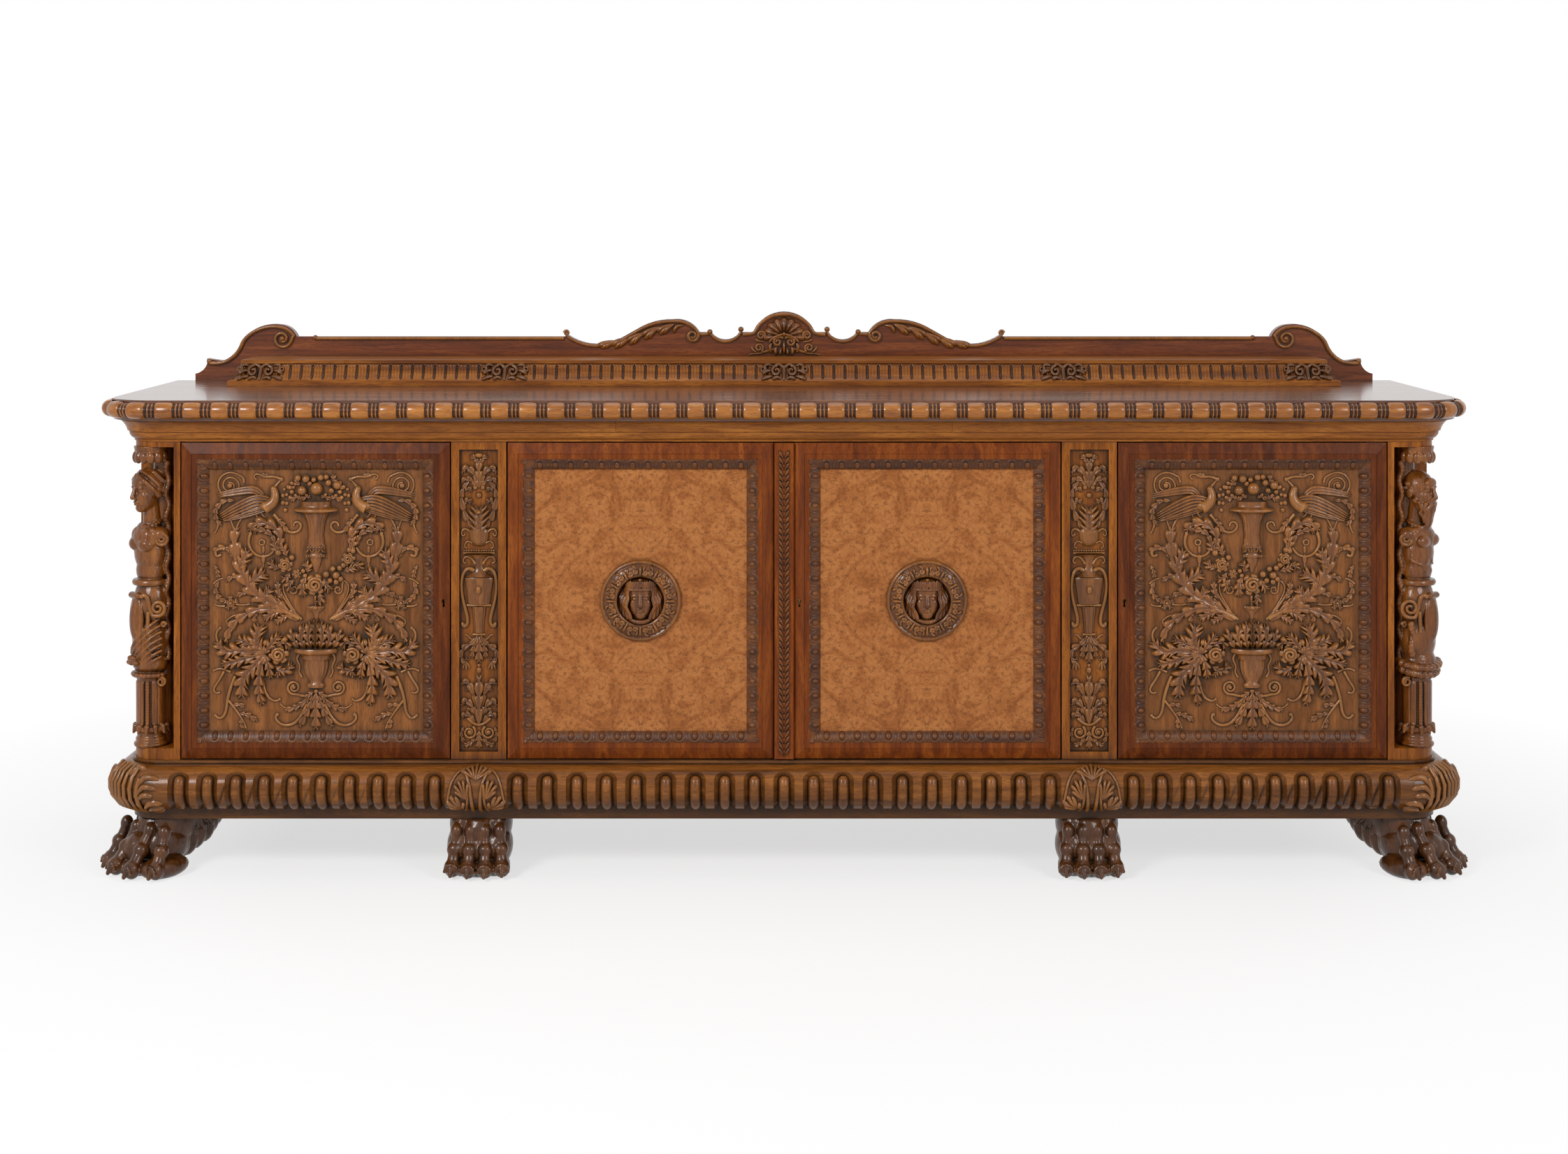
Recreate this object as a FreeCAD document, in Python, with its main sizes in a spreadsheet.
"""Four-door walnut sideboard in the Renaissance revival manner, with herm corners and lion-paw feet.

Millimetres, +Z up, front towards -Y. The origin is on the floor under the middle of the top.
The pieces follow the way the cupboard is put together: feet, base, carcass, corners, frieze,
top, back gallery, shelves, and then the four doors with their pivots and locks.
"""
import FreeCAD
import Part
import Sketcher
import math
import os
from FreeCAD import Placement, Rotation, Vector

# Driving dimensions
DRIVING = {
    # Whole piece
    "top_width": 2876, "top_depth": 640, "top_height": 994,
    # Top board and its knulled edge
    "top_thickness": 43, "top_overhang": 70, "bead_radius": 17.5, "bead_neck": 7, "bead_centre": 21,
    "bead_pitch": 58, "reel_width": 12, "reel_depth": 4,
    # Carcass boards
    "case_corner_radius": 63, "corner_post_width": 107, "board_thickness": 24, "back_thickness": 10,
    "back_inset": 6, "sub_top_thickness": 18, "top_frame_width": 40, "side_border": 70, "side_sink": 7,
    # Base and feet
    "foot_height": 118, "strip_height": 16, "base_cap": 7, "bulge_radius": 47, "bulge_forward": 3,
    "bulge_fillet": 5, "gadroon_pitch": 60.3, "gadroon_half_width": 22, "gadroon_lift": 14,
    "gadroon_tongue": 12, "gadroon_top_angle": 62, "clasp_half_width": 86,
    "base_rail_thickness": 28, "inner_paw_in": 32, "paw_width": 106, "paw_reach": 64,
    "toe_radius": 21, "corner_paw_width": 128, "corner_paw_reach": 84, "corner_toe_radius": 25,
    "corner_paw_turn": 40, "paw_heel": 190, "rear_foot_width": 100,
    # Frieze under the top
    "frieze_height": 46, "bed_height": 21, "bed_reach": 14, "cove_foot": 18, "cove_reach": 31,
    # Pilasters and corner niches
    "pilaster_width": 115, "pilaster_border": 17, "pilaster_sink": 8, "pilaster_thickness": 25,
    "centre_bay_width": 1160, "niche_stile": 13, "niche_foot": 24, "niche_head": 12,
    "herm_radius": 36, "herm_out": 10,
    # Doors
    "door_gap": 3, "meeting_gap": 2, "door_depth": 22, "frame_width": 34, "frame_bevel": 22,
    "bevel_rise": 8, "band_rise": 6, "frame_lip": 14, "frame_lip_depth": 6, "moulding_width": 22,
    "moulding_rise": 5, "panel_recess": 6, "panel_play": 0.5, "astragal_width": 40, "astragal_rise": 8,
    "medallion_diameter": 170, "medallion_opening": 98, "medallion_rise": 20,
    # Pivots, locks and bolts
    "pivot_inset": 22, "pivot_depth": 9, "pin_radius": 4, "pin_clearance": 0.05, "pin_reach": 11,
    "pin_seat": 14, "pivot_plate": 2, "pivot_plate_length": 44, "pivot_plate_width": 14,
    "keyhole_inset": 12, "keyhole_radius": 4, "keyhole_slot": 4, "keyhole_drop": 13,
    "lock_height": 70, "lock_width": 42, "lock_depth": 16, "lock_edge": 4,
    "lock_bolt_height": 20, "lock_bolt_depth": 8, "lock_bolt_length": 32, "lock_play": 0.4,
    # Shelves
    "shelf_thickness": 22, "shelf_height": 330, "shelf_play": 1,
    "cleat_height": 30, "cleat_width": 20,
    # Serving slide in the frieze
    "slide_width": 700, "slide_thickness": 18, "slide_depth": 430, "slide_play": 0.5,
    # Back gallery
    "backboard_thickness": 25, "backboard_length": 2734, "backboard_height": 103, "crest_height": 161,
    "gallery_length": 2498, "gallery_depth": 187, "gallery_strip": 12.5, "gallery_lean": 25,
    "gallery_cove": 38, "gallery_cap": 7.5,
    "rim_thickness": 7, "rim_reach": 6, "volute_radius": 17, "shell_radius": 36, "shell_reach": 14,
}

doc = FreeCAD.newDocument("sideboard")
sheet = doc.addObject("Spreadsheet::Sheet", "Sizes")
for row, (alias, number) in enumerate(DRIVING.items(), start=1):
    sheet.set(f"A{row}", alias)
    sheet.set(f"B{row}", str(number))
    sheet.setAlias(f"B{row}", alias)
doc.recompute()


class Size:
    """A length that knows its number and the sheet expression that it comes from."""

    def __init__(self, number, text):
        self.number = number
        self.text = text

    def __add__(self, other):
        other = as_size(other)
        return Size(self.number + other.number, f"({self.text} + {other.text})")

    def __sub__(self, other):
        other = as_size(other)
        return Size(self.number - other.number, f"({self.text} - {other.text})")

    def __mul__(self, other):
        other = as_size(other)
        return Size(self.number * other.number, f"({self.text} * {other.text})")

    def __truediv__(self, other):
        other = as_size(other)
        return Size(self.number / other.number, f"({self.text} / {other.text})")

    def __neg__(self):
        return Size(-self.number, f"(0 - {self.text})")

    __radd__ = __add__
    __rmul__ = __mul__

    def __rsub__(self, other):
        return as_size(other) - self


def as_size(value):
    return value if isinstance(value, Size) else Size(float(value), repr(float(value)))


class SheetSizes:
    """Reads a cell of the sheet by its alias."""

    def __getattr__(self, alias):
        return Size(float(getattr(sheet, alias)), f"Sizes.{alias}")


s = SheetSizes()
pieces = []


def piece(obj, label):
    """Keep an object as one named piece of the sideboard."""
    obj.Label = label
    pieces.append(obj)
    return obj


def bind(obj, prop, value):
    obj.setExpression(prop, as_size(value).text)


def move(obj, x=0, y=0, z=0):
    for axis, value in zip("xyz", (x, y, z)):
        bind(obj, f"Placement.Base.{axis}", value)


def turn(obj, angle, axis=Vector(0, 0, 1)):
    obj.Placement = Placement(Vector(), Rotation(axis, angle))


def board(name, x, y, z):
    """A plain board between two planes on each axis."""
    box = doc.addObject("Part::Box", name)
    for prop, (low, high) in zip(("Length", "Width", "Height"), (x, y, z)):
        bind(box, prop, high - low)
    move(box, x[0], y[0], z[0])
    return box


def group(label, members):
    joined = doc.addObject("Part::Compound", label)
    joined.Links = members
    return piece(joined, label)


def cut(name, base, tools):
    """Take one or several tools out of a base."""
    tool = tools[0]
    if len(tools) > 1:
        tool = doc.addObject("Part::Compound", name + "_tools")
        tool.Links = tools
    result = doc.addObject("Part::Cut", name)
    result.Base = base
    result.Tool = tool
    return result


def solid(name, shape, x=0, y=0, z=0, angle=0):
    """A free-form piece worked out from the sheet in code, turned and then set in its place."""
    feature = doc.addObject("Part::Feature", name)
    feature.Shape = shape
    turn(feature, angle)
    move(feature, x, y, z)
    return feature


def new_body(name):
    return doc.addObject("PartDesign::Body", name)


def new_sketch(body, role, offset=None):
    plane = next(p for p in body.Origin.OriginFeatures if p.Role == role)
    drawing = body.newObject("Sketcher::SketchObject", "Drawing")
    drawing.AttachmentSupport = [(plane, "")]
    drawing.MapMode = "FlatFace"
    if offset is not None:
        bind(drawing, "AttachmentOffset.Base.z", offset)
    return drawing


def arc_centre(start, end, radius):
    """Centre of the short arc between two points; a positive radius keeps it on the left."""
    run = end - start
    middle = (start + end) * 0.5
    rise = math.sqrt(max(radius * radius - run.Length ** 2 / 4, 0))
    normal = Vector(-run.y, run.x, 0) / run.Length
    return middle + normal * (rise if radius > 0 else -rise)


def draw(drawing, points):
    """A closed outline. A point may carry the radius of the arc that leaves it."""
    count = len(points)
    flat = [Vector(as_size(p[0]).number, as_size(p[1]).number, 0) for p in points]
    ends = []
    for i, point in enumerate(points):
        start, end = flat[i], flat[(i + 1) % count]
        if len(point) == 2:
            drawing.addGeometry(Part.LineSegment(start, end))
            ends.append((1, 2))
            continue
        radius = as_size(point[2]).number
        centre = arc_centre(start, end, radius)
        first, last = (start, end) if radius > 0 else (end, start)
        angles = [math.atan2(v.y - centre.y, v.x - centre.x) for v in (first, last)]
        circle = Part.Circle(centre, Vector(0, 0, 1), abs(radius))
        drawing.addGeometry(Part.ArcOfCircle(circle, *angles))
        ends.append((1, 2) if radius > 0 else (2, 1))
    for i in range(count):
        after = (i + 1) % count
        drawing.addConstraint(Sketcher.Constraint("Coincident", i, ends[i][1], after, ends[after][0]))
    for i, point in enumerate(points):
        for kind, value, axis in (("DistanceX", point[0], -2), ("DistanceY", point[1], -1)):
            value = as_size(value)
            if value.text == "0.0":
                drawing.addConstraint(Sketcher.Constraint("PointOnObject", i, ends[i][0], axis))
                continue
            index = drawing.addConstraint(
                Sketcher.Constraint(kind, -1, 1, i, ends[i][0], value.number))
            bind(drawing, f"Constraints[{index}]", value)
        if len(point) == 3:
            radius = as_size(point[2])
            size = radius if radius.number > 0 else -radius
            index = drawing.addConstraint(Sketcher.Constraint("Radius", i, size.number))
            bind(drawing, f"Constraints[{index}]", size)


def draw_circle(drawing, x, y, radius):
    x, y, radius = as_size(x), as_size(y), as_size(radius)
    drawing.addGeometry(Part.Circle(Vector(x.number, y.number, 0), Vector(0, 0, 1), radius.number))
    for kind, value in (("DistanceX", x), ("DistanceY", y)):
        index = drawing.addConstraint(Sketcher.Constraint(kind, -1, 1, 0, 3, value.number))
        bind(drawing, f"Constraints[{index}]", value)
    index = drawing.addConstraint(Sketcher.Constraint("Radius", 0, radius.number))
    bind(drawing, f"Constraints[{index}]", radius)


def pad(body, drawing, length, back=False):
    feature = body.newObject("PartDesign::Pad", "Pad")
    feature.Profile = drawing
    bind(feature, "Length", length)
    feature.Reversed = back
    return feature


def pocket(body, drawing, length, back=False, both=False):
    feature = body.newObject("PartDesign::Pocket", "Pocket")
    feature.Profile = drawing
    bind(feature, "Length", length)
    feature.Reversed = back
    if both:
        feature.SideType = "Symmetric"
    return feature


def revolve(body, drawing, axis, angle):
    feature = body.newObject("PartDesign::Revolution", "Turning")
    feature.Profile = drawing
    feature.ReferenceAxis = (drawing, [axis])
    feature.Angle = angle
    return feature


def run_of(name, profile, length):
    """A straight moulding along local X; the profile is (out towards -Y, up)."""
    body = new_body(name)
    drawing = new_sketch(body, "YZ_Plane")
    draw(drawing, [(-as_size(p[0]), p[1]) + tuple(-as_size(r) for r in p[2:]) for p in profile])
    pad(body, drawing, length)
    return body


def corner_of(name, profile, radius, inner=None):
    """A quarter-round corner block of the same moulding, turned about the corner's own axis."""
    body = new_body(name)
    drawing = new_sketch(body, "XZ_Plane")
    inner = as_size(0) if inner is None else inner
    moved = [(radius + p[0], p[1]) + tuple(p[2:]) for p in profile]
    low, high = as_size(profile[0][1]), as_size(profile[-1][1])
    draw(drawing, [(inner, low)] + moved + [(inner, high)])
    revolve(body, drawing, "V_Axis", 90)
    return body


# Planes that the pieces share
half_top = s.top_width / 2
back_plane = s.top_depth / 2
front_edge = -back_plane
half_case = half_top - s.top_overhang
case_front = front_edge + s.top_overhang
case_back = back_plane - s.back_inset
corner_x = half_case - s.case_corner_radius
corner_y = case_front + s.case_corner_radius
strip_top = s.foot_height + s.strip_height
bulge_axis = strip_top + s.bulge_fillet + s.bulge_radius
cap_bottom = bulge_axis + s.bulge_radius
base_top = cap_bottom + s.base_cap
top_under = s.top_height - s.top_thickness
head_line = top_under - s.frieze_height
sub_top = head_line + s.sub_top_thickness
post_inner = half_case - s.corner_post_width
half_bay = s.centre_bay_width / 2
pilaster_x = half_bay + s.pilaster_width / 2
pilaster_outer = half_bay + s.pilaster_width
post_back = case_front + s.corner_post_width
inside_back = case_back - s.back_thickness
inside_x = half_case - s.board_thickness
front_length = corner_x * 2
side_length = case_back - corner_y
SIDES = (("left", -1), ("right", 1))


def place_runs(front, left, right, height):
    """Set the front and the two side lengths of a moulding round the case."""
    move(front, -corner_x, case_front, height)
    turn(left, -90)
    move(left, -half_case, case_back, height)
    turn(right, 90)
    move(right, half_case, corner_y, height)


def place_corners(left, right, height):
    turn(left, 180)
    move(left, -corner_x, corner_y, height)
    turn(right, 270)
    move(right, corner_x, corner_y, height)


# Lion-paw feet: four knuckled toes with claws under a gathered shank, cut flat on the floor
def ball(x, y, z, radius):
    return Part.makeSphere(radius, Vector(x, y, z))


def limb(start, end, first, last):
    """A tapered limb between two points."""
    along = end - start
    if abs(first - last) < 1e-6:
        return Part.makeCylinder(first, along.Length, start, along)
    return Part.makeCone(first, last, along.Length, start, along)


def paw(width, reach, toe, heel):
    """One paw that faces -Y; a heel runs back from it as a swept bracket."""
    height = s.foot_height.number
    masses = [Part.makeCone(width * 0.52, width * 0.58, height - 22, Vector(0, heel * 0.15, 22))]
    masses.append(ball(0, -reach * 0.10, height * 0.36, width * 0.50))
    for step in (-1.5, -0.5, 0.5, 1.5):
        across = step * width / 3.1
        set_back = 14 if abs(step) > 1 else 0
        top = Vector(across * 0.86, -reach * 0.45 + set_back, height * 0.70)
        middle = Vector(across, -reach * 0.86 + set_back, height * 0.44)
        tip = Vector(across * 1.06, -reach * 1.08 + set_back, height * 0.17)
        claw = tip + Vector(0, -toe * 1.12, -tip.z * 0.62)
        masses.append(ball(top.x, top.y, top.z, toe * 0.92))
        masses.append(limb(top, middle, toe * 0.80, toe * 0.86))
        masses.append(ball(middle.x, middle.y, middle.z, toe * 1.04))
        masses.append(limb(middle, tip, toe * 0.84, toe * 0.78))
        masses.append(ball(tip.x, tip.y, tip.z, toe * 0.98))
        masses.append(limb(tip, claw, toe * 0.46, toe * 0.16))
    if heel:
        side = [Vector(0, 0, 0), Vector(0, heel * 0.12, 0), Vector(0, heel * 0.45, height * 0.28),
                Vector(0, heel * 0.66, height * 0.78), Vector(0, heel, height), Vector(0, 0, height)]
        web = Part.Face(Part.makePolygon(side + side[:1]))
        masses.append(web.extrude(Vector(width * 0.62, 0, 0)).translated(Vector(-width * 0.31, 0, 0)))
    whole = masses[0].multiFuse(masses[1:])
    room = Part.makeBox(600, 800, height, Vector(-300, -300, 0))
    return whole.common(room).removeSplitter()


inner_paw = paw(s.paw_width.number, s.paw_reach.number, s.toe_radius.number, 0)
corner_paw = paw(s.corner_paw_width.number, s.corner_paw_reach.number, s.corner_toe_radius.number,
                 s.paw_heel.number)
for side, sign in SIDES:
    inner = solid(side + "_inner_paw", inner_paw, sign * pilaster_x, case_front + s.inner_paw_in)
    piece(inner, side + "_inner_paw")
    corner = solid(side + "_corner_paw", corner_paw, sign * corner_x, corner_y, 0,
                   sign * s.corner_paw_turn.number)
    piece(corner, side + "_corner_paw")
rear = []
for name, x in (("rear_foot_a", -corner_x), ("rear_foot_b", -pilaster_x),
                ("rear_foot_c", pilaster_x), ("rear_foot_d", corner_x)):
    half_foot = s.rear_foot_width / 2
    rear.append(board(name, (x - half_foot, x + half_foot),
                      (case_back - s.rear_foot_width, case_back), (as_size(0), s.foot_height)))
group("rear_feet", rear)

# Base: rail frame, bottom board, plain strip and gadrooned bulge
base_rails = [
    board("base_rail_front", (-corner_x, corner_x), (case_front, case_front + s.base_rail_thickness),
          (s.foot_height, base_top - s.board_thickness)),
    board("base_rail_back", (-corner_x, corner_x), (case_back - s.base_rail_thickness, case_back),
          (s.foot_height, base_top - s.board_thickness)),
]
for side, sign in SIDES:
    edges = (sign * half_case, sign * (half_case - s.base_rail_thickness))
    base_rails.append(board(f"base_rail_{side}", edges if sign < 0 else edges[::-1],
                            (corner_y, case_back), (s.foot_height, base_top - s.board_thickness)))
    base_rails.append(board(f"base_bearer_{side}",
                            (sign * pilaster_x - s.base_rail_thickness / 2,
                             sign * pilaster_x + s.base_rail_thickness / 2),
                            (case_front + s.base_rail_thickness, case_back - s.base_rail_thickness),
                            (s.foot_height, base_top - s.board_thickness)))
group("base_frame", base_rails)


def notched_plate(name, low, high):
    """A full board of the case with the two front corners taken out for the corner blocks."""
    body = new_body(name)
    drawing = new_sketch(body, "XY_Plane")
    draw(drawing, [(-half_case, case_back), (-half_case, corner_y), (-corner_x, corner_y),
                   (-corner_x, case_front), (corner_x, case_front), (corner_x, corner_y),
                   (half_case, corner_y), (half_case, case_back)])
    pad(body, drawing, high - low)
    move(body, 0, 0, low)
    return body


def axis_of(door_side, sign):
    """Where the pivot pins of a door stand: the side doors and the centre doors, by mirror sign."""
    reach = post_inner if door_side == "outer" else half_bay
    return sign * (reach - s.door_gap - s.pivot_inset)


pivot_y = case_front + s.pivot_depth
HANGING = (("left_door", "outer", -1), ("centre_left_door", "inner", -1),
           ("centre_right_door", "inner", 1), ("right_door", "outer", 1))


def pin(name, x, low, length, radius):
    rod = doc.addObject("Part::Cylinder", name)
    bind(rod, "Radius", radius)
    bind(rod, "Height", length)
    move(rod, x, pivot_y, low)
    return rod


lower_seats = []
upper_seats = []
pins = []
pin_length = s.pin_seat + s.door_gap + s.pin_reach
for name, reach, sign in HANGING:
    x = axis_of(reach, sign)
    lower_seats.append(pin(name + "_low_seat", x, base_top - s.pin_seat, s.pin_seat, s.pin_radius))
    upper_seats.append(pin(name + "_high_seat", x, head_line, s.pin_seat, s.pin_radius))
    pins.append(pin(name + "_low_pin", x, base_top - s.pin_seat, pin_length, s.pin_radius))
    pins.append(pin(name + "_high_pin", x, head_line + s.pin_seat - pin_length, pin_length, s.pin_radius))
piece(cut("bottom_board", notched_plate("bottom_plate", base_top - s.board_thickness, base_top),
          lower_seats), "bottom_board")
piece(cut("sub_top", notched_plate("sub_top_plate", head_line, sub_top), upper_seats), "sub_top")
group("hinge_pins", pins)

strip_front = board("strip_front", (-corner_x, corner_x), (case_front - s.bulge_forward, case_front),
                    (s.foot_height, strip_top))
strips = [strip_front]
for side, sign in SIDES:
    edges = (sign * half_case, sign * (half_case + s.bulge_forward))
    strips.append(board(f"strip_{side}", edges if sign > 0 else edges[::-1], (corner_y, case_back),
                        (s.foot_height, strip_top)))

bulge_round = s.bulge_radius
low_shoulder = bulge_axis - s.bulge_radius
BULGE = [(as_size(0), strip_top), (s.bulge_forward, strip_top),
         (s.bulge_forward, low_shoulder, bulge_round),
         (s.bulge_forward + s.bulge_radius, bulge_axis, bulge_round), (s.bulge_forward, cap_bottom),
         (s.bulge_forward + 3, cap_bottom + 1), (s.bulge_forward + 3, base_top), (as_size(0), base_top)]


def gadroon(x):
    """The hollow and the tongue of one gadroon on a bulge whose axis is local X."""
    radius = s.bulge_radius.number
    lift = s.gadroon_lift.number
    hollow = math.hypot(s.gadroon_half_width.number, lift)
    tongue = s.gadroon_tongue.number
    axis = Vector(1, 0, 0)
    start = s.gadroon_top_angle.number
    sweep = 178 - start

    def sunk(across, tube, cap):
        ring = Part.Face(Part.Wire(Part.makeCircle(tube, Vector(x, 0, across), Vector(0, 1, 0))))
        ring.rotate(Vector(), axis, start)
        body = ring.revolve(Vector(), axis, sweep)
        head = Part.makeSphere(tube * cap, Vector(x, 0, across))
        head.rotate(Vector(), axis, start)
        return body.fuse(head)

    return sunk(radius + lift, hollow, 1.004), sunk(radius - tongue * 0.86, tongue, 1.004)


def gadrooned(centres, length):
    """A run of the bulge with its row of gadroons; local X along it, the axis of the bulge at zero."""
    radius = s.bulge_radius.number
    fillet = s.bulge_fillet.number
    cap = s.base_cap.number
    forward = s.bulge_forward.number
    half = Part.makeCylinder(radius, length, Vector(), Vector(1, 0, 0))
    front = Part.makeBox(length, radius * 2, radius * 4, Vector(0, -radius * 2, -radius * 2))
    half = half.common(front)
    core = Part.makeBox(length, forward, radius * 2 + fillet + cap, Vector(0, 0, -radius - fillet))
    lip = Part.makeBox(length, 3, cap - 1, Vector(0, -3, radius + 1))
    pairs = [gadroon(x) for x in centres]
    hollows = Part.makeCompound([pair[0] for pair in pairs])
    tongues = [pair[1].common(front) for pair in pairs]
    sunk = half.cut(hollows)
    body = sunk.multiFuse(tongues + [core, lip])
    return body.removeSplitter()


def gadroon_rows():
    """Centres of the gadroons along the front, clear of the two leaf clasps."""
    clasp = pilaster_x.number
    half_clasp = s.clasp_half_width.number
    pitch = s.gadroon_pitch.number
    inner = clasp - half_clasp
    steps = max(int(round(inner / pitch)), 1)
    rows = [inner * i / steps for i in range(-steps, steps + 1)]
    room = corner_x.number - (clasp + half_clasp) - s.gadroon_half_width.number
    outer = max(int(room // (pitch * 0.975)), 0)
    for i in range(outer + 1):
        x = clasp + half_clasp + i * pitch * 0.975
        rows += [-x, x]
    return sorted(rows)


front_centres = [x + corner_x.number for x in gadroon_rows()]
side_count = max(int(side_length.number // s.gadroon_pitch.number), 1)
side_centres = [side_length.number * (i + 0.5) / side_count for i in range(side_count)]
bulge_front = solid("bulge_front", gadrooned(front_centres, front_length.number),
                    -corner_x, case_front - s.bulge_forward, bulge_axis)
side_run = gadrooned(side_centres, side_length.number)
bulge_left = solid("bulge_left", side_run, -half_case - s.bulge_forward, case_back, bulge_axis, -90)
bulge_right = solid("bulge_right", side_run, half_case + s.bulge_forward, corner_y, bulge_axis, 90)
group("base_moulding", strips + [bulge_front, bulge_left, bulge_right])
STRIP = [(s.bulge_forward, s.foot_height), (s.bulge_forward, strip_top)]
base_left = corner_of("base_corner_left", STRIP + BULGE[2:7], s.case_corner_radius)
base_right = corner_of("base_corner_right", STRIP + BULGE[2:7], s.case_corner_radius)
place_corners(base_left, base_right, 0)
group("base_corners", [base_left, base_right])

# Carcass: sides with a sunk field, partitions and back
side_panels = []
partitions = []
for side, sign in SIDES:
    body = new_body(side + "_side_panel")
    drawing = new_sketch(body, "YZ_Plane")
    low, high = post_back, case_back
    draw(drawing, [(low, base_top), (high, base_top), (high, head_line), (low, head_line)])
    pad(body, drawing, s.board_thickness, back=sign > 0)
    field = new_sketch(body, "YZ_Plane")
    rim = s.side_border
    draw(field, [(low + rim, base_top + rim), (high - rim, base_top + rim),
                 (high - rim, head_line - rim), (low + rim, head_line - rim)])
    pocket(body, field, s.side_sink, back=sign < 0)
    move(body, sign * half_case)
    side_panels.append(body)
    middle = sign * pilaster_x
    partitions.append(board(side + "_partition",
                            (middle - s.board_thickness / 2, middle + s.board_thickness / 2),
                            (case_front + s.pilaster_thickness, inside_back), (base_top, head_line)))
group("side_panels", side_panels)
group("partitions", partitions)
back = board("back_panel", (-inside_x, inside_x), (inside_back, case_back), (base_top, head_line))
piece(back, "back_panel")

# Pilasters with a sunk carved field
for side, sign in SIDES:
    body = new_body(side + "_pilaster")
    drawing = new_sketch(body, "XZ_Plane")
    half = s.pilaster_width / 2
    draw(drawing, [(-half, base_top), (half, base_top), (half, head_line), (-half, head_line)])
    pad(body, drawing, s.pilaster_thickness, back=True)
    field = new_sketch(body, "XZ_Plane")
    rim = s.pilaster_border
    draw(field, [(rim - half, base_top + rim), (half - rim, base_top + rim),
                 (half - rim, head_line - rim), (rim - half, head_line - rim)])
    pocket(body, field, s.pilaster_sink)
    move(body, sign * pilaster_x, case_front)
    piece(body, side + "_pilaster")

# Corner posts with a round-backed niche, and the herm that stands in each
def herm():
    """A half figure that rises from a tapered shaft: base, shaft, drapery, belt, bust, head, canopy."""
    tall = (head_line - base_top - s.niche_foot - s.niche_head).number
    wide = s.herm_radius.number
    turned = [(0, 1.06), (0.025, 1.06), (0.035, 0.94), (0.06, 1.04), (0.07, 0.80), (0.085, 0.86),
              (0.10, 0.66), (0.225, 0.80), (0.235, 0.98), (0.26, 0.98), (0.27, 0.82), (0.33, 1.06),
              (0.36, 0.98), (0.44, 1.12), (0.52, 0.96), (0.545, 0.82), (0.575, 0.82), (0.60, 0.92),
              (0.68, 1.10), (0.74, 1.02), (0.765, 0.60), (0.80, 0.46), (0.945, 0.50), (0.955, 1.10),
              (1, 1.22)]
    rim = [Vector(share * wide, 0, level * tall) for level, share in turned]
    rim = [Vector(0, 0, 0)] + rim + [Vector(0, 0, tall)]
    core = Part.Face(Part.makePolygon(rim + rim[:1])).revolve(Vector(), Vector(0, 0, 1), 360)
    forward = Vector(0, 1, 0)
    masses = [ball(0, -wide * 0.10, tall * 0.862, wide * 1.02),
              ball(0, -wide * 0.16, tall * 0.835, wide * 0.86),
              Part.makeCylinder(wide * 0.5, tall, Vector(0, wide * 0.62, 0))]
    for hand in (-1, 1):
        masses.append(ball(hand * wide * 0.46, -wide * 0.82, tall * 0.685, wide * 0.44))
        shoulder = Vector(hand * wide * 0.86, -wide * 0.45, tall * 0.72)
        masses.append(Part.makeCylinder(wide * 0.46, wide * 0.9, shoulder, forward))
        bracket = Vector(hand * wide * 0.66, -wide * 0.75, tall * 0.25)
        masses.append(Part.makeCylinder(wide * 0.34, wide * 0.8, bracket, forward))
    shield = Part.makeCylinder(wide * 0.72, wide * 0.55, Vector(0, -wide * 1.36, tall * 0.43), forward)
    return core.multiFuse(masses + [shield]).removeSplitter()


chord_middle = (s.corner_post_width - s.niche_stile) / 2
herm_across = s.niche_stile + chord_middle + s.herm_out
herm_in = chord_middle - s.herm_out
for side, sign in SIDES:
    body = new_body(side + "_post_block")
    drawing = new_sketch(body, "XY_Plane")
    width = s.corner_post_width
    outer = [(as_size(0), as_size(0)), (width - s.case_corner_radius, as_size(0), s.case_corner_radius),
             (width, s.case_corner_radius), (width, width), (as_size(0), width)]
    if sign < 0:
        outer = [(-p[0], p[1]) + tuple(-r for r in p[2:]) for p in outer]
    draw(drawing, outer)
    pad(body, drawing, head_line - base_top)
    move(body, sign * post_inner, case_front, base_top)
    niche = new_body(side + "_niche")
    drawing = new_sketch(niche, "XY_Plane")
    stile = s.niche_stile
    hollow = s.corner_post_width * 0.9
    outline = [(stile, -20), (stile, as_size(0), hollow), (width, width - stile),
               (width + 20, width - stile), (width + 20, -20)]
    outline = [(p[0], p[1]) + tuple(-r for r in p[2:]) for p in outline]
    if sign < 0:
        outline = [(-as_size(p[0]), p[1]) + tuple(-as_size(r) for r in p[2:]) for p in outline]
    draw(drawing, outline)
    pad(niche, drawing, head_line - base_top - s.niche_foot - s.niche_head)
    move(niche, sign * post_inner, case_front, base_top + s.niche_foot)
    post = piece(cut(side + "_corner_post", body, [niche]), side + "_corner_post")
    figure = solid(side + "_herm_figure", herm(), sign * (post_inner + herm_across), case_front + herm_in,
                   base_top + s.niche_foot, sign * 45)
    piece(cut(side + "_herm", figure, [post]), side + "_herm")

# Frieze: a bed moulding all round, and a cove above it whose middle length fronts the serving slide
cove_height = s.frieze_height - s.bed_height
BED = [(0, 0), (3, 0), (3, 4), (6, 5, 16), (s.bed_reach, s.bed_height - 3), (s.bed_reach, s.bed_height)]
COVE = [(s.cove_foot, as_size(0)), (s.cove_foot, as_size(2), -40), (s.cove_reach, cove_height - 4),
        (s.cove_reach, cove_height)]


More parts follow.
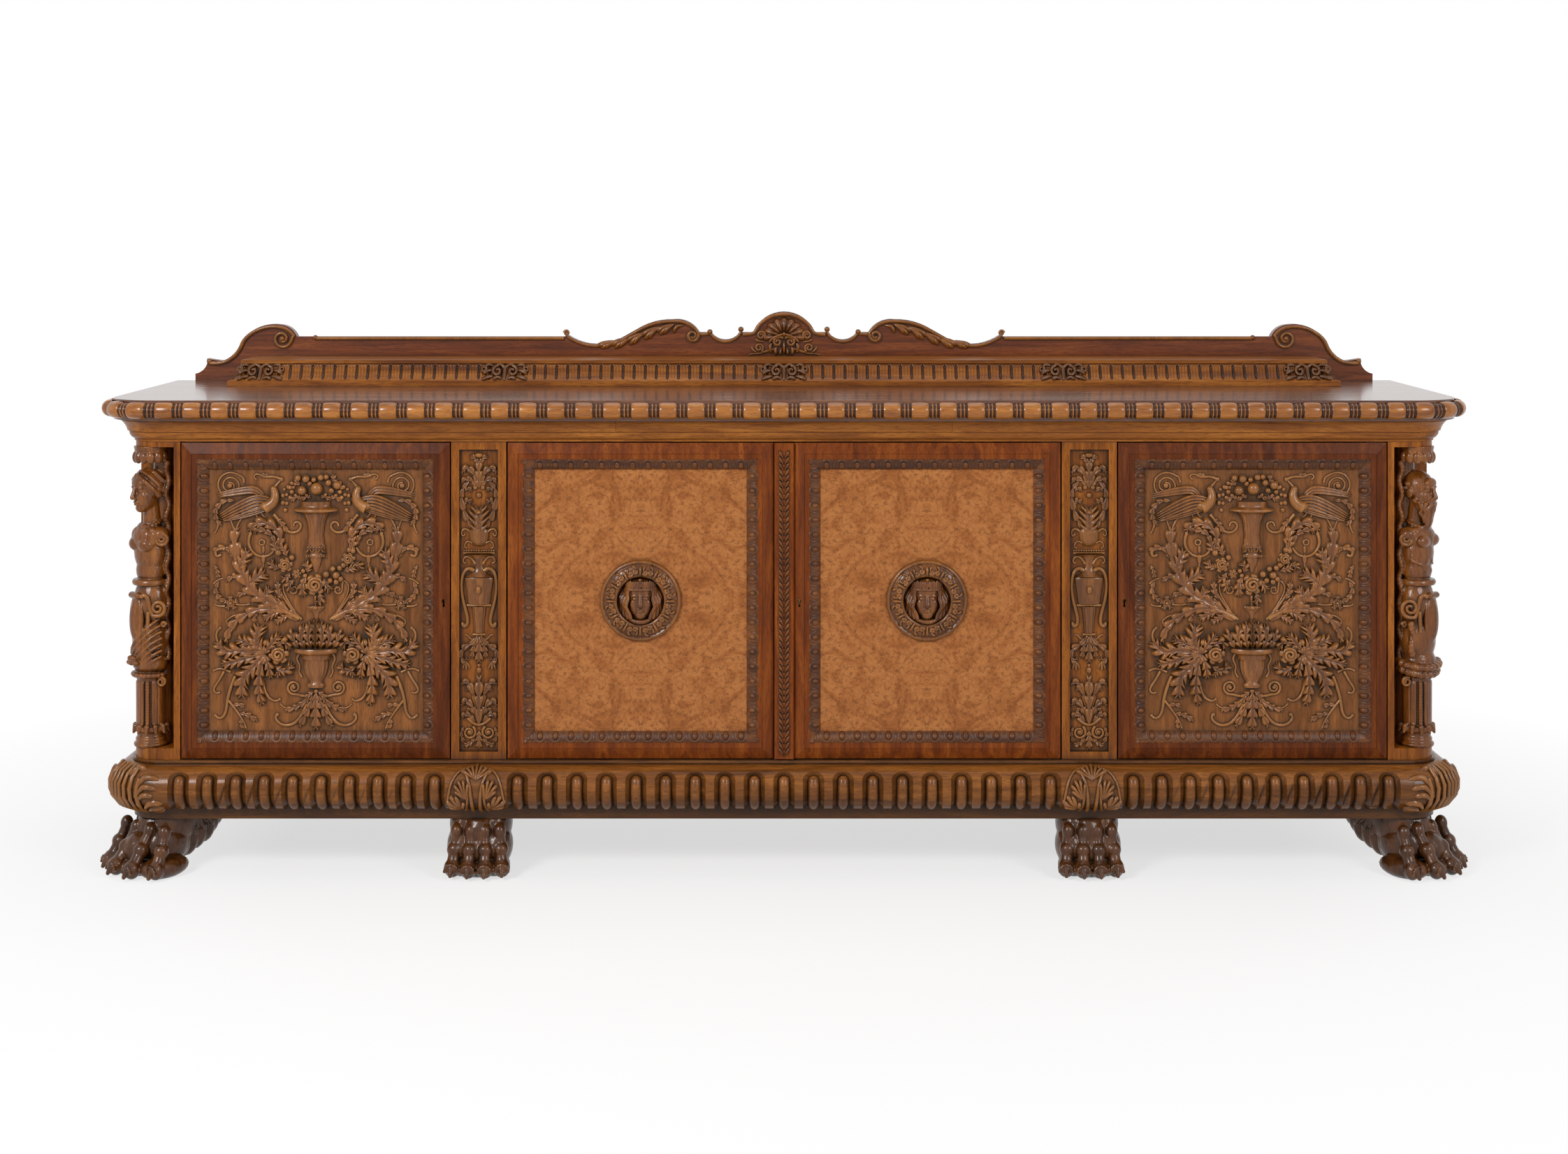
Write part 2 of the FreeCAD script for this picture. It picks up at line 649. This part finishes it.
def bar_profile(profile):
    """Close a moulding profile on the case's own face."""
    low, high = profile[0], profile[-1]
    start = [] if as_size(low[0]).text == "0.0" else [(as_size(0), low[1])]
    return start + profile + [(as_size(0), high[1])]


bed_runs = [run_of(name, bar_profile(BED), length) for name, length in
            (("bed_front", front_length), ("bed_left", side_length), ("bed_right", side_length))]
place_runs(*bed_runs, head_line)
bed_corners = [corner_of(name, BED[1:], s.case_corner_radius)
               for name in ("bed_corner_left", "bed_corner_right")]
place_corners(*bed_corners, head_line)
group("bed_moulding", bed_runs + bed_corners)

half_slide = s.slide_width / 2
cove_floor = head_line + s.bed_height
beside_slide = corner_x - half_slide
cove_sides = [run_of(name, bar_profile(COVE), length) for name, length in
              (("cove_front_left", beside_slide), ("cove_left", side_length), ("cove_right", side_length))]
place_runs(*cove_sides, cove_floor)
cove_front_right = run_of("cove_front_right", bar_profile(COVE), beside_slide)
move(cove_front_right, half_slide, case_front, cove_floor)
cove_corners = [corner_of(name, COVE, s.case_corner_radius)
                for name in ("cove_corner_left", "cove_corner_right")]
place_corners(*cove_corners, cove_floor)
group("frieze_cove", cove_sides + [cove_front_right] + cove_corners)

SLIDE_FRONT = [(s.cove_foot, s.slide_play), (s.cove_foot, s.slide_play + 2, -40),
               (s.cove_reach, cove_height - 4), (s.cove_reach, cove_height - s.slide_play)]
slide_front = run_of("slide_front", bar_profile(SLIDE_FRONT), s.slide_width - s.slide_play * 2)
move(slide_front, s.slide_play - half_slide, case_front, cove_floor)
piece(slide_front, "slide_front")
slide_low = cove_floor + s.slide_play
slide = board("slide_board", (s.slide_play - half_slide, half_slide - s.slide_play),
              (case_front, case_front + s.slide_depth), (slide_low, slide_low + s.slide_thickness))
piece(slide, "slide_board")

bar_width = s.top_frame_width
frame_in = case_front + bar_width
frame_back = case_back - bar_width
top_bars = [board("top_bar_back", (bar_width - half_case, half_case - bar_width),
                  (frame_back, case_back), (sub_top, top_under))]
for side, sign in SIDES:
    bars = (("front", (half_slide, corner_x), (case_front, frame_in), top_under),
            ("side", (half_case - bar_width, half_case), (corner_y, case_back), top_under),
            ("guide", (half_slide, half_slide + bar_width), (frame_in, frame_back), top_under),
            ("runner", (half_slide - bar_width, half_slide), (case_front, frame_back), cove_floor))
    for part, x, y, high in bars:
        x = x if sign > 0 else (-x[1], -x[0])
        top_bars.append(board(f"top_bar_{part}_{side}", x, y, (sub_top, high)))
group("top_frame", top_bars)

# Top board and its knulled half-round edge
top_reach = s.top_overhang - s.bead_radius - s.bead_neck
top_x = half_case + top_reach
top_front = case_front - top_reach
top_radius = s.case_corner_radius + top_reach
body = new_body("top_board")
drawing = new_sketch(body, "XY_Plane")
draw(drawing, [(-top_x, back_plane), (-top_x, corner_y, top_radius), (-corner_x, top_front),
               (corner_x, top_front, top_radius), (top_x, corner_y), (top_x, back_plane)])
pad(body, drawing, s.top_thickness)
move(body, 0, 0, top_under)
piece(body, "top_board")


def knulled(length):
    """A split turning along local X: long beads with a pair of reels between them, and its flat neck."""
    radius = s.bead_radius.number
    reel = s.reel_width.number
    low = radius - s.reel_depth.number
    high = radius - s.reel_depth.number * 0.35
    count = max(int(round(length / s.bead_pitch.number)), 1)
    step = length / count
    ease = min(reel * 0.7, (step - reel) / 2.5)
    rim = [Vector(0, 0, 0)]
    for i in range(count):
        x = step * i
        bead = step - reel / 2
        rim += [Vector(x, 0, high), Vector(x + reel * 0.3, 0, high), Vector(x + reel * 0.4, 0, low),
                Vector(x + reel / 2, 0, low), Vector(x + reel / 2 + ease * 0.3, 0, radius - 1.2),
                Vector(x + reel / 2 + ease, 0, radius), Vector(x + bead - ease, 0, radius),
                Vector(x + bead - ease * 0.3, 0, radius - 1.2), Vector(x + bead, 0, low),
                Vector(x + bead + reel * 0.1, 0, low), Vector(x + bead + reel * 0.2, 0, high)]
    rim += [Vector(length, 0, high), Vector(length, 0, 0)]
    round_half = Part.Face(Part.makePolygon(rim + rim[:1])).revolve(Vector(), Vector(1, 0, 0), 180)
    neck = Part.makeBox(length, s.bead_neck.number, low * 2, Vector(0, 0, -low))
    return round_half.fuse(neck)


bead_level = s.top_height - s.bead_centre
bead_front_y = top_front - s.bead_neck
bead_side_x = top_x + s.bead_neck
edge_side_length = back_plane - corner_y
edge_front = solid("edge_front", knulled(front_length.number), -corner_x, bead_front_y, bead_level)
edge_side = knulled(edge_side_length.number)
edge_left = solid("edge_left", edge_side, -bead_side_x, back_plane, bead_level, -90)
edge_right = solid("edge_right", edge_side, bead_side_x, corner_y, bead_level, 90)
ROUND = [(top_reach + s.bead_neck, -s.bead_radius, s.bead_radius),
         (s.top_overhang, as_size(0), s.bead_radius), (top_reach + s.bead_neck, s.bead_radius)]
edge_corners = [corner_of(name, ROUND, s.case_corner_radius, top_radius)
                for name in ("edge_corner_left", "edge_corner_right")]
place_corners(*edge_corners, bead_level)
group("top_edge_moulding", [edge_front, edge_left, edge_right] + edge_corners)

# Back gallery: a shaped backboard with scrolled ends and crest, and a low fluted step in front of it
board_end = s.backboard_length / 2
rail = s.backboard_height
arch_spring = rail + 21
left_half = [(-board_end, as_size(0)), (-board_end, as_size(17), 34), (27 - board_end, as_size(40)),
             (27 - board_end, as_size(52)), (66 - board_end, as_size(46), 70),
             (113 - board_end, rail - 4, -90), (197 - board_end, rail + 28, -45),
             (236 - board_end, rail), (as_size(-508), rail), (as_size(-505), rail + 6, 119),
             (as_size(-380), rail - 4), (as_size(-330), rail + 24, -150), (as_size(-257), rail + 40, -60),
             (as_size(-196), rail + 10), (as_size(-169), rail + 10, 40.5), (as_size(-103), rail + 10),
             (as_size(-69), rail + 10), (as_size(-66), arch_spring, -77)]
crown = [(as_size(0), s.crest_height, -77)]
right_half = []
for i in range(len(left_half) - 1, -1, -1):
    arc = left_half[i - 1][2:] if i else ()
    right_half.append((-left_half[i][0], left_half[i][1]) + tuple(arc))
body = new_body("backboard")
drawing = new_sketch(body, "XZ_Plane")
draw(drawing, left_half + crown + right_half)
pad(body, drawing, s.backboard_thickness)
move(body, 0, back_plane, s.top_height)
piece(body, "backboard")
board_face = back_plane - s.backboard_thickness


def button(name, x, level, radius, reach):
    """A round boss on the face of the backboard, its axis front to back."""
    disc = doc.addObject("Part::Cylinder", name)
    bind(disc, "Radius", radius)
    bind(disc, "Height", reach)
    disc.Placement = Placement(Vector(), Rotation(Vector(1, 0, 0), 90))
    move(disc, x, board_face, s.top_height + level)
    return disc


rims = []
for side, sign in SIDES:
    ends = (280 - board_end, as_size(-508))
    ends = ends if sign < 0 else (-ends[1], -ends[0])
    rims.append(board(f"rim_{side}", ends, (board_face - s.rim_reach, board_face),
                      (s.top_height + rail - s.rim_thickness, s.top_height + rail)))
    end_place = sign * (board_end - 200)
    crest_place = as_size(sign * 214)
    rims.append(button(f"end_volute_{side}", end_place, rail - 3, s.volute_radius, s.rim_reach))
    rims.append(button(f"crest_volute_{side}", crest_place, rail + 16, s.volute_radius, s.rim_reach))
group("crest_rim", rims)
shell = button("shell_boss", as_size(0), arch_spring, s.shell_radius, s.shell_reach)
shell_cut = board("shell_cut", (-s.shell_radius, s.shell_radius), (board_face - s.shell_reach, board_face),
                  (s.top_height + arch_spring - s.shell_radius, s.top_height + arch_spring - 20))
piece(cut("crest_shell", shell, [shell_cut]), "crest_shell")

half_gallery = s.gallery_length / 2
gallery_front = board_face - s.gallery_depth
strip_level = s.top_height + s.gallery_strip
cove_level = strip_level + s.gallery_cove
cove_inset = 5.0
platform = board("gallery_strip_board", (-half_gallery, half_gallery), (gallery_front, board_face),
                 (s.top_height, strip_level))
ledge_x = half_gallery - s.gallery_lean
ledge = board("gallery_ledge", (-ledge_x, ledge_x), (gallery_front + s.gallery_lean, board_face),
              (cove_level, cove_level + s.gallery_cap))
group("gallery_boards", [platform, ledge])
body = new_body("gallery_cove")
sections = []
for level, inset in ((as_size(0), as_size(cove_inset)), (s.gallery_cove * 0.45, s.gallery_lean * 0.8),
                     (s.gallery_cove, s.gallery_lean + cove_inset)):
    drawing = new_sketch(body, "XY_Plane", level)
    wide = half_gallery - inset
    near = gallery_front + inset
    draw(drawing, [(-wide, near), (wide, near), (wide, board_face), (-wide, board_face)])
    sections.append(drawing)
loft = body.newObject("PartDesign::AdditiveLoft", "Loft")
loft.Profile = sections[0]
loft.Sections = sections[1:]
loft.Ruled = True
move(body, 0, 0, strip_level)
piece(body, "gallery_cove")

# Shelves on cleats, one in each cupboard
shelf_level = base_top + s.shelf_height
shelf_front = post_back + s.shelf_play
wall = pilaster_x + s.board_thickness / 2
near_wall = pilaster_x - s.board_thickness / 2
shelf_spans = (("left", -inside_x, -wall), ("centre", -near_wall, near_wall), ("right", wall, inside_x))
shelves = []
cleats = []
for name, low, high in shelf_spans:
    shelves.append(board(name + "_shelf", (low + s.shelf_play, high - s.shelf_play),
                         (shelf_front, inside_back - s.shelf_play),
                         (shelf_level, shelf_level + s.shelf_thickness)))
    for end, edges in (("low", (low, low + s.cleat_width)), ("high", (high - s.cleat_width, high))):
        cleats.append(board(f"{name}_cleat_{end}", edges, (shelf_front + s.cleat_width, inside_back),
                            (shelf_level - s.cleat_height, shelf_level)))
group("shelves", shelves)
group("shelf_cleats", cleats)

# Doors: four mitred members, a mitred inner moulding, the panel, pivots and lock
door_low = base_top + s.door_gap
door_high = head_line - s.door_gap
door_tall = door_high - door_low
panel_back = s.door_depth - s.frame_lip_depth
lip_edge = s.frame_width + s.frame_lip
inner_edge = s.frame_width + s.moulding_width
FRAME = [(0, 0), (s.frame_bevel, -s.bevel_rise), (s.frame_bevel, -s.band_rise),
         (s.frame_width, -s.band_rise), (s.frame_width, panel_back), (lip_edge, panel_back),
         (lip_edge, s.door_depth), (0, s.door_depth)]
EGG_MOULDING = [(s.frame_width, -s.moulding_rise, 30), (inner_edge, s.panel_recess - 1),
                (inner_edge, s.panel_recess), (s.frame_width, s.panel_recess)]
through = s.door_depth * 6


def mitred_bar(name, profile, length):
    """A moulded bar along local Z with both ends mitred; local X runs inwards, local Y backwards."""
    body = new_body(name)
    drawing = new_sketch(body, "XY_Plane")
    draw(drawing, profile)
    pad(body, drawing, length)
    reach = inner_edge + 4
    for corner in ([(-1, -1), (reach, -1), (reach, reach)],
                   [(-1, length + 1), (reach, length - reach), (reach, length + 1)]):
        drawing = new_sketch(body, "XZ_Plane")
        draw(drawing, corner)
        pocket(body, drawing, through, both=True)
    return body


def bore(body, along):
    """The hole for a pivot pin in the outer edge of a rail."""
    drawing = new_sketch(body, "YZ_Plane")
    draw_circle(drawing, s.pivot_depth, along, s.pin_radius + 0.4)
    pocket(body, drawing, s.pin_reach + 2, back=True)


def keyhole(body, inset, along, upward):
    """A round hole with a slot below it, right through a stile."""
    drawing = new_sketch(body, "XZ_Plane")
    draw_circle(drawing, inset, along, s.keyhole_radius)
    pocket(body, drawing, through, both=True)
    half = s.keyhole_slot / 2
    drop = -s.keyhole_drop if upward else s.keyhole_drop
    drawing = new_sketch(body, "XZ_Plane")
    draw(drawing, [(inset - half, along), (inset + half, along), (inset + half, along + drop),
                   (inset - half, along + drop)])
    pocket(body, drawing, through, both=True)


def set_bar(bar, angle, x, z):
    turn(bar, angle, Vector(0, 1, 0))
    move(bar, x, case_front, z)


def mitred_set(name, profile, x0, x1):
    """Left stile, top rail, right stile and bottom rail of one door."""
    wide = x1 - x0
    left = mitred_bar(name + "_left", profile, door_tall)
    top = mitred_bar(name + "_top", profile, wide)
    right = mitred_bar(name + "_right", profile, door_tall)
    bottom = mitred_bar(name + "_bottom", profile, wide)
    set_bar(left, 0, x0, door_low)
    set_bar(top, 90, x0, door_high)
    set_bar(right, 180, x1, door_high)
    set_bar(bottom, -90, x1, door_low)
    return left, top, right, bottom


def pivot_plate(name, x0, x1, low, axis_x):
    half = s.pivot_plate_width / 2
    plate = board(name + "_plate", (x0, x1), (pivot_y - half, pivot_y + half), (low, low + s.pivot_plate))
    eye = pin(name + "_eye", axis_x, low, s.pivot_plate, s.pin_radius + s.pin_clearance)
    return cut(name, plate, [eye])


def lock(name, free_x, sign, width):
    """A box lock on the back of a stile, and the bolt that slides out of it towards the free edge."""
    low = case_front + s.door_depth
    middle = door_low + door_tall / 2
    near = free_x - sign * s.lock_edge
    far = near - sign * width
    case_x = (near, far) if sign < 0 else (far, near)
    case = board(name + "_box", case_x, (low, low + s.lock_depth),
                 (middle - s.lock_height / 2, middle + s.lock_height / 2))
    half_bolt = s.lock_bolt_height / 2
    bolt_low = low + (s.lock_depth - s.lock_bolt_depth) / 2
    tail = near - sign * (width - s.lock_width + s.lock_bolt_length)
    tip = free_x - sign * 1
    bolt_x = (tip, tail) if sign < 0 else (tail, tip)
    slot_end = tail - sign * s.lock_play
    slot_x = (near, slot_end) if sign < 0 else (slot_end, near)
    bolt_high = bolt_low + s.lock_bolt_depth
    slot = board(name + "_slot", slot_x, (bolt_low - s.lock_play, bolt_high + s.lock_play),
                 (middle - half_bolt - s.lock_play, middle + half_bolt + s.lock_play))
    piece(cut(name + "_case", case, [slot]), name + "_case")
    bolt = board(name + "_bolt", bolt_x, (bolt_low, bolt_high), (middle - half_bolt, middle + half_bolt))
    piece(bolt, name + "_bolt")


def medallion(name, x):
    """A wreath ring on the panel round a small head in relief."""
    body = new_body(name + "_ring")
    drawing = new_sketch(body, "XY_Plane")
    opening = s.medallion_opening / 2
    outer = s.medallion_diameter / 2
    draw(drawing, [(opening, 0), (opening, 8 - s.medallion_rise), (opening + 5, -s.medallion_rise),
                   (opening + 12, -s.medallion_rise, -40), (outer, -5), (outer, 0)])
    revolve(body, drawing, "V_Axis", 360)
    face = case_front + s.panel_recess
    middle = door_low + door_tall / 2
    move(body, x, face, middle)
    size = opening.number
    neck = Part.makeCylinder(size * 0.26, size * 0.5, Vector(0, 0, -size * 0.62))
    crown = Part.makeCylinder(size * 0.40, size * 0.2, Vector(0, 0, size * 0.44))
    masses = ball(0, 0, size * 0.16, size * 0.46).multiFuse([
        ball(0, 0, size * -0.02, size * 0.40), neck, ball(0, 0, -size * 0.80, size * 0.52), crown])
    room = Part.makeBox(size * 3, size, size * 1.6, Vector(-size * 1.5, -size, -size * 0.80))
    head = solid(name + "_head", masses.common(room).removeSplitter(), x, face, middle)
    group(name, [body, head])


def door(name, x0, x1, hinge, lock_sign):
    """One door between its two upright edges; hinge is the side that its pivots stand on."""
    bars = mitred_set(name + "_bar", FRAME, x0, x1)
    wide = x1 - x0
    bore(bars[1], s.pivot_inset if hinge < 0 else wide - s.pivot_inset)
    bore(bars[3], wide - s.pivot_inset if hinge < 0 else s.pivot_inset)
    if lock_sign:
        stile = bars[2] if lock_sign > 0 else bars[0]
        keyhole(stile, s.keyhole_inset, door_tall / 2, lock_sign < 0)
    group(name + "_frame", list(bars))
    group(name + "_moulding", list(mitred_set(name + "_egg", EGG_MOULDING, x0, x1)))
    rim = s.frame_width + s.panel_play
    piece(board(name + "_panel", (x0 + rim, x1 - rim),
                (case_front + s.panel_recess, case_front + panel_back), (door_low + rim, door_high - rim)),
          name + "_panel")
    axis_x = x0 + s.pivot_inset if hinge < 0 else x1 - s.pivot_inset
    half = s.pivot_plate_length / 2
    group(name + "_pivots",
          [pivot_plate(f"{name}_pivot_{end}", axis_x - half + 2, axis_x + half - 2, low, axis_x)
           for end, low in (("low", door_low - s.pivot_plate), ("high", door_high))])


outer_low = -post_inner + s.door_gap
outer_high = -pilaster_outer - s.door_gap
half_astragal = s.astragal_width / 2
inner_low = -half_bay + s.door_gap
door("left_door", outer_low, outer_high, -1, 1)
lock("left_door_lock", outer_high, 1, s.lock_width)
door("right_door", -outer_high, -outer_low, 1, -1)
lock("right_door_lock", -outer_high, -1, s.lock_width)
door("centre_left_door", inner_low, -half_astragal - s.meeting_gap, -1, 0)
medallion("centre_left_door_medallion", (inner_low - half_astragal - s.meeting_gap) / 2)
door("centre_right_door", half_astragal, -inner_low, 1, -1)
medallion("centre_right_door_medallion", (half_astragal - inner_low) / 2)
lock("centre_right_door_lock", -half_astragal, -1, s.lock_width + s.astragal_width)
piece(board("centre_right_door_astragal", (-half_astragal, half_astragal),
            (case_front - s.astragal_rise, case_front + s.door_depth), (door_low, door_high)),
      "centre_right_door_astragal")

doc.recompute()
for obj in doc.Objects:
    if "Invalid" in obj.State or "Error" in obj.State:
        raise RuntimeError(f"{obj.Label}: {obj.State}")
os.makedirs("parts", exist_ok=True)
for obj in pieces:
    shape = obj.Shape
    if shape.isNull() or not shape.isValid() or not shape.Solids:
        raise RuntimeError(f"{obj.Label} has no sound shape")
    shape.exportStep(f"parts/{obj.Label}.step")
